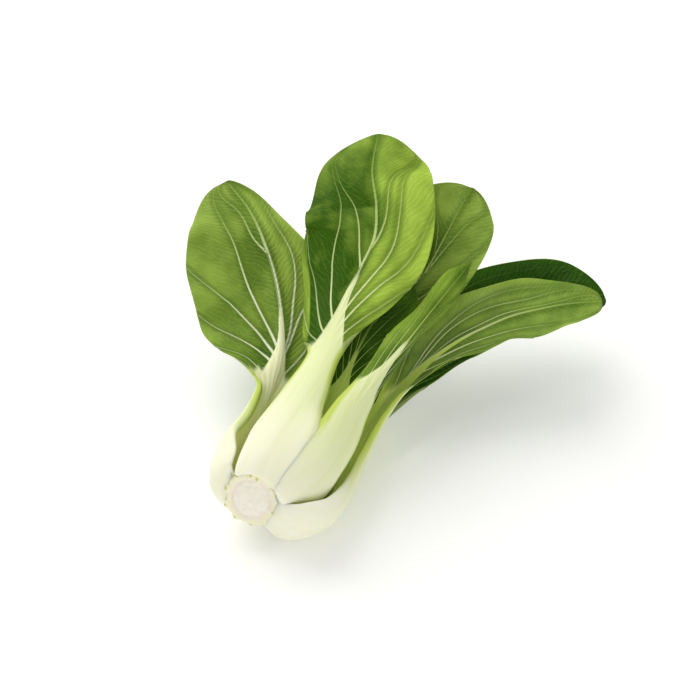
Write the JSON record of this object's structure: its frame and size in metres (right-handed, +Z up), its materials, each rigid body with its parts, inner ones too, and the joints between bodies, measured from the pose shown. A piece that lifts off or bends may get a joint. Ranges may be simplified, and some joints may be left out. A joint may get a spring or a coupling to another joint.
{
  "type": "bok choy",
  "caption": "Head of bok choy lying on its side: a cut butt and a rosette of thick pale stalks that open into spoon-shaped green blades, a fresh vegetable for a kitchen or market scene.",
  "frame": {"origin": "middle of the bounding box on the floor under the lying head", "axes": "+Z up from the floor; the head lies along Y with its cut butt towards -Y and its leaves towards +Y"},
  "size_m": [0.1912, 0.1908, 0.11],
  "materials": {
    "cut_butt": "moist cut stem tissue, cream with a faint pink ring",
    "leaf": "waxy leaf skin: near-white stalk running into a satin green blade with pale veins"
  },
  "bodies": {
    "root": {"stem_butt": "cut_butt", "leaf_left": "leaf", "leaf_low_right": "leaf", "leaf_under_left": "leaf", "leaf_far_right": "leaf", "leaf_top": "leaf", "leaf_right": "leaf", "leaf_inner_right": "leaf", "leaf_inner_gap": "leaf", "leaf_inner_left": "leaf", "leaf_inner_back": "leaf", "heart_leaf_right": "leaf", "heart_leaf_left": "leaf"}
  },
  "joints": []
}
